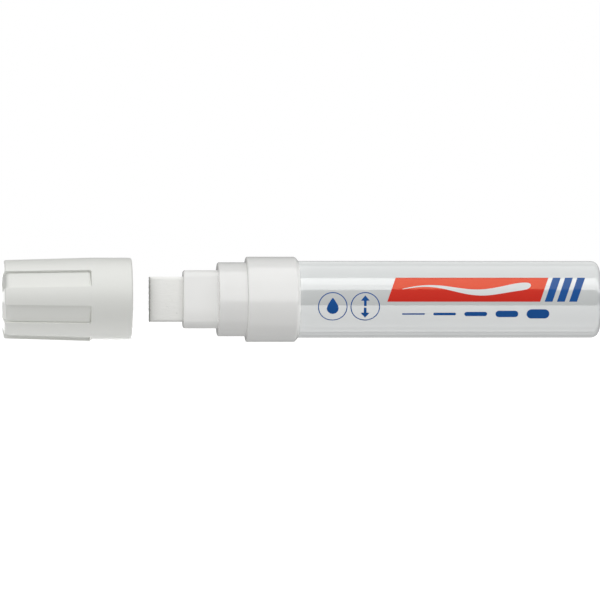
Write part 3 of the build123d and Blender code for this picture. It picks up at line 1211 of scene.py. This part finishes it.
@dataclass
class NibUnit:
    """Fibre nib on the sliding valve stem.

    Attributes:
        rounding: rounding of the nib's long edges.
        tip_length: length over which the thickness closes to the writing edge.
        tip_land: half thickness left at the writing edge.
        crown: how far the broad faces swell in the middle, taken from the edges.
        fuzz: depth of the fibrous relief on the faces.
        fuzz_waves: shortest and longest wave of that relief.
        fuzz_stretch: width of such a wave over its length.
        grit: depth of the ragged relief on the cut ends.
        grit_waves: shortest and longest wave of that relief.
        grit_reach: distance from the tip at which it has faded.
        waves: number of waves in each relief.
        row_pitch: distance between rows on the part that shows.
        row_reach: how far these rows go on into the slot.
    """

    rounding: float = 0.9
    tip_length: float = 4.2
    tip_land: float = 0.25
    crown: float = 0.25
    fuzz: float = 0.03
    fuzz_waves: tuple[float, float] = (0.35, 1.6)
    fuzz_stretch: float = 0.18
    grit: float = 0.16
    grit_waves: tuple[float, float] = (0.4, 1.5)
    grit_reach: float = 1.2
    waves: int = 60
    row_pitch: float = 0.11
    row_reach: float = 1.5

    def build(self) -> None:
        """Makes the nib and dresses the carrier, the stem and the seal."""
        add_piece("fibre_nib", self.surface(), Body.NIB_UNIT, NIB_FIBRE, "nib")
        dress_nodes(VALVE_PLASTIC, "nib_carrier", "valve_stem")
        dress_nodes(SEAL_RUBBER, "valve_seal")

    def surface(self) -> Array:
        """Bar of fibre whose thickness closes in an ellipse towards the writing edge, with fibrous relief.

        At a distance d from the tip the half thickness is the land at the edge plus the rest times the root
        of one less the square of (1 - d / tip_length). Relief only takes material away, so the nib stays in
        its slot.

        Returns:
            Closed surface grid.
        """
        span = Span.of("nib")
        length = span.rear - span.front
        shown = Span.of("nib_holder").front + self.row_reach - span.front
        bend = self.tip_length * (1 - np.cos(np.linspace(0.0, np.pi / 2, 32)))
        along = np.arange(self.tip_length + self.row_pitch, shown, self.row_pitch)
        inside = np.linspace(shown, length, 8)
        depth = np.concatenate([[0.0], bend, along, inside, [length]])
        short = np.clip(1 - depth / self.tip_length, 0.0, None)
        half = self.tip_land + (span.thickness / 2 - self.tip_land) * np.sqrt(1 - short ** 2)
        half[[0, -1]] = 0.0
        loop = rounded_bar_loop(span.thickness - 2 * self.crown, 2 * span.radius, self.rounding, quarter=64)
        closing = np.stack([half / (span.thickness / 2), np.ones_like(half)], 1)
        surface = lofted(span.front + depth, list(crowned(loop, self.crown)[None] * closing[:, None]))
        away = unit(surface * [0.0, 1.0, 1.0])
        fibre = ripple(surface * [self.fuzz_stretch, 1.0, 1.0], *self.fuzz_waves, self.waves, seed=11)
        surface = surface - away * (self.fuzz * (0.5 + 0.5 * np.clip(fibre, -1.0, 1.0)))[..., None]
        ragged = 0.5 + 0.5 * np.clip(ripple(surface, *self.grit_waves, self.waves, seed=5), -1.0, 1.0)
        surface[..., 0] += self.grit * ragged * ease(1 - depth / self.grit_reach)[:, None]
        return surface


@dataclass
class Valve:
    """Valve behind the nib: seat, cage, gasket and the coil spring.

    Attributes:
        wire: thickness of the spring wire.
        turns: turns of the coil.
        clear: gap at each end of the coil; not used.
        turn_steps: steps in a turn of the coil.
        wire_sides: points round the wire.
    """

    wire: float = 0.6
    turns: float = 6.0
    clear: float = 0.05
    turn_steps: int = 40
    wire_sides: int = 14

    def build(self) -> None:
        """Dresses the fixed pieces and makes the spring."""
        dress_nodes(VALVE_PLASTIC, "valve_seat", "spring_cage")
        dress_nodes(SEAL_RUBBER, "mouth_gasket")
        spring = add_piece("coil_spring", self.coil(), Body.MARKER, SPRING_STEEL, "valve_spring")
        span = Span.of("valve_spring")
        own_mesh(spring)

    def coil(self) -> Array:
        """Wire carried along a helix about the axis, its section in the plane across the helix.

        The middle of the wire advances evenly with the angle, and the section's two directions are the
        outward one and the one at right angles to it and to the wire. Both ends close to a point.

        Returns:
            Closed surface grid.
        """
        span = Span.of("valve_spring")
        radius = span.radius - self.wire / 2
        share = np.pad(np.linspace(0.0, 1.0, int(self.turns * self.turn_steps)), 1, mode="edge")
        size = np.full_like(share, self.wire / 2)
        size[[0, -1]] = 0.0
        angle = 2 * np.pi * self.turns * share
        first = span.front + self.wire / 2
        last = span.rear - self.wire / 2
        x = first + (last - first) * share
        middle = np.stack([x, radius * np.cos(angle), radius * np.sin(angle)], -1)
        pitch = np.full_like(angle, (last - first) / (2 * np.pi * self.turns))
        heading = unit(np.stack([pitch, -radius * np.sin(angle), radius * np.cos(angle)], -1))
        outward = np.stack([np.zeros_like(angle), np.cos(angle), np.sin(angle)], -1)
        aside = np.cross(heading, outward)
        around = full_turn(self.wire_sides)[None, :, None]
        ring = np.cos(around) * outward[:, None] + np.sin(around) * aside[:, None]
        return middle[:, None] + size[:, None, None] * ring


@dataclass
class Cap:
    """Cap with sunk flat panels, and the liner inside it.

    Attributes:
        rim_wall: thickness of the skirt.
        rim_rounding: rounding of the rim's outer edge.
        rim_bore_rounding: rounding of the rim's inner edge.
        taper: radius lost from the skirt to the closed end.
        skirt: length of the straight skirt.
        dome: height of the domed end.
        corner: rounding between the dome and the side.
        end_wall: thickness of the closed end.
        panel_turns: angles of the panels below the camera side, in degrees, two opposite groups of three.
        panel_sides: sign of the long edge of each panel that a groove lines.
        panel_length: length of a panel from the closed end.
        panel_width: width of a panel.
        panel_depth: depth of a panel at its middle.
        panel_rounding: rounding of the panel's corners.
        side_ramp: width of a panel's side walls.
        end_ramp: width of a panel's end wall.
        groove: depth of the groove below the panel's floor.
        groove_width: width of that groove.
        groove_fade: how fast the groove fades across the panel's end.
        facet: length of the slope in which a panel runs out at the closed end.
        facet_fall: fall of that slope over its length.
        pole: radius within which the panels' columns close in on the axis.
        liner_wall: thickness of the liner.
        liner_gap: gap between the liner and the shell.
        liner_lip: rounding of the liner's lip.
        liner_edge: rounding of its closed end.
        liner_floor: rounding inside its closed end.
        liner_columns: steps round the liner.
        corner_steps: steps in each rounding of the shell.
        end_rows: rows on the closed end.
        side_rows: rows along the panels.
        crowd_rows: rows that crowd at the panels' end.
        crowd_reach: how far these rows reach.
        crowd_pull: how strongly they crowd.
        wall_columns: columns that crowd at each long edge of a panel.
        wall_reach: how far these columns reach.
        floor_columns: columns across a panel's floor.
        bridge_columns: steps between two panels.
    """

    rim_wall: float = 1.4
    rim_rounding: float = 0.7
    rim_bore_rounding: float = 0.25
    taper: float = 0.83
    skirt: float = 13.5
    dome: float = 1.5
    corner: float = 0.4
    end_wall: float = 2.4
    panel_turns: tuple[float, ...] = (-31.4, 22.6, 76.6, 148.6, 202.6, 256.6)
    panel_sides: tuple[float, ...] = (-1.0, 1.0, -1.0, -1.0, 1.0, -1.0)
    panel_length: float = 30.1
    panel_width: float = 6.4
    panel_depth: float = 1.25
    panel_rounding: float = 0.8
    side_ramp: float = 0.05
    end_ramp: float = 0.32
    groove: float = 0.45
    groove_width: float = 0.2
    groove_fade: float = 0.75
    facet: float = 2.2
    facet_fall: float = 2.0
    pole: float = 9.0
    liner_wall: float = 0.8
    liner_gap: float = 0.05
    liner_lip: float = 0.3
    liner_edge: float = 0.4
    liner_floor: float = 0.6
    liner_columns: int = 160
    corner_steps: int = 16
    end_rows: int = 40
    side_rows: int = 26
    crowd_rows: int = 33
    crowd_reach: float = 1.2
    crowd_pull: float = 2.0
    wall_columns: int = 17
    wall_reach: float = 0.5
    floor_columns: int = 11
    bridge_columns: int = 12

    def build(self) -> None:
        """Makes the shell and the liner."""
        liner = turned(self.liner_outline(), self.liner_columns)
        add_piece("cap_shell_panelled", self.shell_surface(), Body.CAP, CAP_PLASTIC, "cap_shell")
        add_piece("cap_liner_cup", liner, Body.CAP, LINER_PLASTIC, "cap_liner")

    def liner_outline(self) -> Array:
        """Closed outline of the liner with a rounded lip.

        Returns:
            Array of (x, radius).
        """
        span = Span.of("cap_liner")
        bore = span.radius - self.liner_wall
        return rounded_outline([
            (span.rear, bore, self.liner_lip),
            (span.rear, span.radius, self.liner_lip),
            (span.front, span.radius, self.liner_edge),
            (span.front, 0.0),
            (span.front + self.liner_wall, 0.0),
            (span.front + self.liner_wall, bore, self.liner_floor),
        ])

    def shell_outline(self) -> Array:
        """Closed outline of the round shell without its panels, with rows crowded at the panels' end.

        The end is drawn flat, in even rows, and then bulged by the dome's height times one less the square
        of radius over edge.

        Returns:
            Array of (x, radius).
        """
        span = Span.of("cap_shell")
        liner = Span.of("cap_liner")
        bore = span.radius - self.rim_wall
        inner = liner.radius + self.liner_gap
        edge = span.radius - self.taper
        floor = span.front + self.end_wall
        outline = rounded_outline([
            (span.front + self.dome, 0.0),
            (span.front + self.dome, edge, self.corner),
            (span.rear - self.skirt, span.radius),
            (span.rear, span.radius, self.rim_rounding),
            (span.rear, bore, self.rim_bore_rounding),
            (liner.rear, bore),
            (liner.rear, inner),
            (floor, inner),
            (floor, 0.0),
        ], self.corner_steps)
        arc_points = self.corner_steps + 1
        bend = arc_points + RUN_POINTS
        side = bend + arc_points
        start = outline[side - 1]
        stop = outline[side + RUN_POINTS]
        rise = np.linspace(0.0, 1.0, self.end_rows, endpoint=False)[:, None]
        face = outline[0] + (outline[bend] - outline[0]) * rise
        ramp_middle = span.front + self.panel_length - self.end_ramp / 2
        crowd = ramp_middle + clustered(self.crowd_reach, self.crowd_rows, self.crowd_pull)
        even = np.linspace(start[0], crowd[0], self.side_rows)[1:-1]
        along = np.concatenate([even, crowd])
        along = along[along < stop[0]]
        taper = start[1] + (stop[1] - start[1]) * (along - start[0]) / (stop[0] - start[0])
        flank = np.stack([along, taper], 1)
        outline = np.concatenate([face, outline[bend:side], flank, outline[side + RUN_POINTS:]])
        end_face = np.arange(len(outline)) <= len(face) + self.corner_steps
        bulge = self.dome * np.clip(1 - (outline[:, 1] / edge) ** 2, 0.0, None)
        outline[:, 0] -= np.where(end_face, bulge, 0.0)
        return outline

    def panel_skin(self, x: Array, t: Array, round_d: Array) -> Array:
        """Distance of the skin from the axis, along each panel's own direction.

        It goes in from the round shell to the flat floor. How far it goes is set by the distance to the
        panel's rounded outline over the width of the wall. A groove, a bell curve of that distance, lines the
        end and one long edge and fades across the end towards the other edge. At the closed end the floor
        falls along the facet.

        Args:
            x: place of each row, of shape (rows, 1).
            t: distance of each column from the panel's middle line, of shape (rows, columns).
            round_d: distance of the round shell, of the same shape.

        Returns:
            Array of shape (rows, panels, columns).
        """
        span = Span.of("cap_shell")
        edge = self.panel_width / 2
        panel_end = span.front + self.panel_length
        skirt_front = span.rear - self.skirt
        slope = self.taper / (skirt_front - span.front - self.dome)
        floor = span.radius - slope * max(skirt_front - panel_end, 0.0) - self.panel_depth
        floor = floor - slope * (panel_end - x)
        floor = floor - self.facet_fall * np.clip(span.front + self.facet - x, 0.0, None)
        along = x - (panel_end - self.panel_rounding)
        across = np.abs(t) - (edge - self.panel_rounding)
        past = np.clip(along, 0.0, None)
        beside = np.clip(across, 0.0, None)
        distance = np.hypot(past, beside) + np.minimum(np.maximum(along, across), 0.0) - self.panel_rounding
        lean = past ** 2 / (past ** 2 + beside ** 2 + TINY)
        ramp = self.side_ramp + (self.end_ramp - self.side_ramp) * lean
        depth = np.clip(round_d - floor, 0.0, None) * np.clip(-distance / ramp, 0.0, 1.0)
        bell = np.exp(-((distance + self.groove_width / 2 + ramp) / (self.groove_width / 2)) ** 2)
        groove = self.groove * bell * np.clip(x - span.front - self.facet, 0.0, 1.0)
        sides = np.array(self.panel_sides)[:, None]
        share = np.clip(0.5 + self.groove_fade * sides * t[:, None] / edge, 0.0, 1.0)
        return (round_d - depth)[:, None] - groove[:, None] * share

    def shell_surface(self) -> Array:
        """Shell with its panels, as a grid of outline rows and columns that follow the panels' edges.

        A column at a distance t from a panel's middle line keeps that t and moves in along the panel's own
        direction from the round shell, which lies at the root of r squared less t squared. Columns between
        panels divide the angle that is left up to the next panel. Close to the pole t shrinks with r.

        Returns:
            Closed surface grid.
        """
        x, r = self.shell_outline().T[:, :, None]
        wall = self.panel_width / 2 - self.side_ramp / 2 + clustered(self.wall_reach, self.wall_columns)
        inner = np.linspace(-wall[0], wall[0], self.floor_columns)[1:-1]
        t = np.concatenate([-wall[::-1], inner, wall]) * np.minimum(1.0, r / self.pole)
        round_d = np.sqrt(np.clip(r * r - t * t, 0.0, None))
        skin = self.panel_skin(x, t, round_d)
        turn = np.radians(self.panel_turns)[:, None]
        panel_y = -skin * np.cos(turn) + t[:, None] * np.sin(turn)
        panel_z = -skin * np.sin(turn) - t[:, None] * np.cos(turn)
        step = (np.roll(turn, -1, 0) - turn) % (2 * np.pi)
        rim = np.arctan2(t[:, -1:], round_d[:, -1:])[:, None]
        angle = turn + rim + (step - 2 * rim) * np.linspace(0.0, 1.0, self.bridge_columns)[1:-1]
        bridge_y = -r[:, None] * np.cos(angle)
        bridge_z = -r[:, None] * np.sin(angle)
        y = np.concatenate([panel_y, bridge_y], -1).reshape(len(x), -1)
        z = np.concatenate([panel_z, bridge_z], -1).reshape(len(x), -1)
        return np.stack([np.broadcast_to(x, y.shape), y, z], -1)


class MixingBalls:
    """Two steel balls that stir the ink."""

    def build(self) -> None:
        """Dresses both balls."""
        dress_nodes(BALL_STEEL, "mixing_ball_a", "mixing_ball_b")


@dataclass(frozen=True)
class Softbox:
    """Long rectangular studio lamp that lies along the axis.

    Attributes:
        group: light group that it is kept to.
        part: what it is called within its group.
        low: bearing of its lower edge, in degrees above the camera side.
        high: bearing of its upper edge, less than 180 degrees further on.
        level: light level of its face.
        diffuse: whether it lights matt surfaces.
        glossy: whether it shows in reflections.
        distance: distance from the axis.
        length: size along the axis.
        middle: x of its middle.
    """

    group: LightGroup
    part: str
    low: float
    high: float
    level: float
    diffuse: bool = False
    glossy: bool = True
    distance: float = 600.0
    length: float = 4000.0
    middle: float = 0.0

    def build(self) -> None:
        """Hangs the lamp, aimed at the axis; its power is the level times its area times pi."""
        name = f"{self.group.name.lower()}_{self.part}"
        lamp = bpy.data.lights.new(name, "AREA")
        lamp.shape = "RECTANGLE"
        lamp.size = self.length * MM
        lamp.size_y = 2 * self.distance * MM * math.tan(math.radians(self.high - self.low) / 2)
        lamp.energy = self.level * lamp.size * lamp.size_y * math.pi
        hung = bpy.data.objects.new(name, lamp)
        bearing = math.radians((self.low + self.high) / 2)
        away = Vector((0.0, -math.cos(bearing), math.sin(bearing)))
        hung.location = Vector((self.middle * MM, 0.0, axis_height() * MM)) + away * self.distance * MM
        hung.rotation_euler = (math.pi / 2 - bearing, 0.0, 0.0)
        hung.visible_camera = False
        hung.visible_diffuse = self.diffuse
        hung.visible_glossy = self.glossy
        hung.light_linking.receiver_collection = light_collection(self.group)
        bpy.context.scene.collection.objects.link(hung)


@dataclass(frozen=True)
class Lobe:
    """Soft light that the dome gives round one bearing.

    Attributes:
        bearing: bearing of its middle, in degrees above the camera side.
        spread: degrees from its middle to where it ends.
        level: light level at its middle.
    """

    bearing: float
    spread: float
    level: float

    def levels(self, bearings: Array) -> Array:
        """Level times half of one plus a cosine, which falls to nothing at the spread.

        Args:
            bearings: bearings in degrees.

        Returns:
            Light levels at those bearings.
        """
        away = np.abs((bearings - self.bearing + 180.0) % 360.0 - 180.0)
        return self.level * (0.5 + 0.5 * np.cos(np.pi * np.minimum(away / self.spread, 1.0)))


@dataclass
class Studio:
    """White studio: table, soft dome, lamps and the camera at the photograph's angle.

    Attributes:
        table_reach: half the side of the table, in metres.
        table_drop: depth of the table's top under the marker.
        azimuth: camera's turn to the right of straight on, in degrees.
        lens: focal length.
        sensor: width of the camera's sensor.
        view_width: width of the view at the marker.
        aim_drop: how far below the axis the camera aims.
        dome_ground: light level that the dome has all round the axis.
        key: light from above the camera side.
        bounce: weaker light from below.
        dome_stops: number of stops that draw the dome's level round the axis.
        dome_gain: strength of the whole dome.
        side_start: share of a heading that lies along the axis from which the dome dims towards its sides.
        side_level: what is left of the light straight along the axis.
    """

    table_reach: float = 40.0
    table_drop: float = 0.03
    azimuth: float = -4.5
    lens: float = 330.0
    sensor: float = 36.0
    view_width: float = 200.0
    aim_drop: float = 0.23
    dome_ground: float = 0.21
    key: Lobe = Lobe(bearing=50.0, spread=105.0, level=0.9)
    bounce: Lobe = Lobe(bearing=-95.0, spread=110.0, level=0.40)
    dome_stops: int = 25
    dome_gain: float = 1.1
    side_start: float = 0.5
    side_level: float = 0.22

    def build(self) -> None:
        """Sets up the camera, the table, the dome and the lamps."""
        bpy.context.scene.view_settings.view_transform = "Standard"
        self.build_camera()
        self.build_table()
        self.build_dome()
        for lamp in self.lamps():
            lamp.build()

    def build_camera(self) -> None:
        """Camera a few marker lengths out, level with the marker and turned a little to the cap's side."""
        data = bpy.data.cameras.new("photo_camera")
        data.lens = self.lens
        data.sensor_width = self.sensor
        distance = self.view_width * MM * self.lens / self.sensor
        data.clip_end = 4 * distance
        camera = bpy.data.objects.new("photo_camera", data)
        turn = math.radians(self.azimuth)
        back = Vector((math.sin(turn), -math.cos(turn), 0.0))
        camera.location = Vector((0.0, 0.0, (axis_height() - self.aim_drop) * MM)) + back * distance
        camera.rotation_euler = (math.pi / 2, 0.0, turn)
        bpy.context.scene.collection.objects.link(camera)
        bpy.context.scene.camera = camera

    def build_table(self) -> None:
        """Wide pale table top just under the marker."""
        corners = np.array([(-1, -1), (1, -1), (1, 1), (-1, 1)]) * self.table_reach
        level = np.full((len(corners), 1), -self.table_drop * MM)
        mesh = bpy.data.meshes.new("table_top")
        mesh.from_pydata(np.concatenate([corners, level], 1).tolist(), [], [(0, 1, 2, 3)])
        mesh.materials.append(TABLE.material())
        table = bpy.data.objects.new("table_top", mesh)
        bpy.context.scene.collection.objects.link(table)
        table.visible_diffuse = False
        table.visible_glossy = False
        table.visible_shadow = False

    def build_dome(self) -> None:
        """White backdrop, and a light dome that follows the bearing round the axis and dims at both sides."""
        world = bpy.data.worlds.new("studio_dome")
        world.use_nodes = True
        tree = world.node_tree
        tree.nodes.clear()
        heading = add_node(tree, "ShaderNodeTexCoord").outputs["Generated"]
        part = add_node(tree, "ShaderNodeSeparateXYZ", {"Vector": heading})
        front = add_node(tree, "ShaderNodeMath", {0: part.outputs["Y"], 1: -1.0}, operation="MULTIPLY")
        bearing = add_node(tree, "ShaderNodeMath", {0: part.outputs["Z"], 1: front.outputs["Value"]},
                           operation="ARCTAN2")
        share = add_node(tree, "ShaderNodeMapRange",
                         {"Value": bearing.outputs["Value"], "From Min": -math.pi, "From Max": math.pi})
        ramp = add_node(tree, "ShaderNodeValToRGB", {"Fac": share.outputs["Result"]})
        stops = ramp.color_ramp.elements
        stops.remove(stops[1])
        bearings = np.linspace(-180.0, 180.0, self.dome_stops)
        levels = self.dome_ground + self.key.levels(bearings) + self.bounce.levels(bearings)
        for number, level in enumerate(levels.tolist()):
            stop = stops.new(number / (self.dome_stops - 1)) if number else stops[0]
            stop.color = (level, level, level, 1.0)
        along = add_node(tree, "ShaderNodeMath", {0: part.outputs["X"]}, operation="ABSOLUTE")
        side = add_node(tree, "ShaderNodeMapRange",
                        {"Value": along.outputs["Value"], "From Min": self.side_start, "From Max": 1.0,
                         "To Min": self.dome_gain, "To Max": self.dome_gain * self.side_level},
                        interpolation_type="SMOOTHSTEP")
        soft = add_node(tree, "ShaderNodeBackground",
                        {"Color": ramp.outputs["Color"], "Strength": side.outputs["Result"]})
        white = add_node(tree, "ShaderNodeBackground", {"Color": (1.0, 1.0, 1.0, 1.0)})
        seen = add_node(tree, "ShaderNodeLightPath").outputs["Is Camera Ray"]
        both = add_node(tree, "ShaderNodeMixShader",
                        {0: seen, 1: soft.outputs["Background"], 2: white.outputs["Background"]})
        add_node(tree, "ShaderNodeOutputWorld", {"Surface": both.outputs["Shader"]})
        bpy.context.scene.world = world

    def lamps(self) -> list[Softbox]:
        """Strips that draw the bands on the gloss pieces, and cards that lift the satin and matt ones.

        Returns:
            Lamps, light group by light group.
        """
        barrel, label, front, nib, cap = LightGroup
        matt_only = {"diffuse": True, "glossy": False}
        beside = {"distance": 220.0, "length": 700.0}
        end_on = {"distance": 80.0, "length": 900.0, "middle": 700.0}
        return [
            Softbox(barrel, "strip", 28.0, 66.0, 5.9),
            Softbox(barrel, "strip_top", 44.0, 66.0, 2.0),
            Softbox(barrel, "crown", 66.0, 118.0, 2.7),
            Softbox(barrel, "brow", 118.0, 150.0, 1.4),
            Softbox(barrel, "low", -92.0, -18.0, 5.1),
            Softbox(barrel, "low_rear", -113.0, -92.0, 3.8),
            Softbox(barrel, "under", -134.0, -113.0, 1.5),
            Softbox(barrel, "under_rear", -165.0, -134.0, 0.45),
            Softbox(barrel, "edge", 150.0, 180.0, 0.45),
            Softbox(label, "strip", 30.0, 66.0, 4.6),
            Softbox(front, "card", -6.0, 95.0, 2.0),
            Softbox(front, "card_low", -6.0, 24.0, 0.7),
            Softbox(front, "under", -75.0, -6.0, 0.8),
            Softbox(front, "left", -60.0, 80.0, 0.42, diffuse=True, middle=-600.0, **beside),
            Softbox(front, "left_rear", 140.0, 220.0, 2.0, middle=-600.0, **beside),
            Softbox(front, "right", -25.0, 75.0, 8.5, **end_on, **matt_only),
            Softbox(front, "right_rear", 140.0, 220.0, 2.0, middle=600.0, **beside),
            Softbox(nib, "card", 20.0, 75.0, 0.75, distance=60.0, length=80.0, middle=-42.0, **matt_only),
            Softbox(cap, "card", 14.0, 110.0, 1.5),
            Softbox(cap, "low", -122.0, -70.0, 2.0),
            Softbox(cap, "low_rear", -168.0, -140.0, 4.5),
            Softbox(cap, "under", -140.0, -80.0, 0.2, **matt_only),
            Softbox(cap, "left", -50.0, 60.0, 2.0, distance=220.0, length=900.0, middle=-700.0),
            Softbox(cap, "end_card", 172.0, 188.0, 4.4, length=380.0, middle=-370.0),
        ]


def main() -> None:
    """Builds the studio and the marker, sub-assembly by sub-assembly."""
    logging.basicConfig(level=logging.INFO, format="%(name)s: %(message)s")
    Studio().build()
    for assembly in (Barrel(), FrontEnd(), NibUnit(), Valve(), Cap(), MixingBalls()):
        assembly.build()


if __name__ == "__main__":
    main()
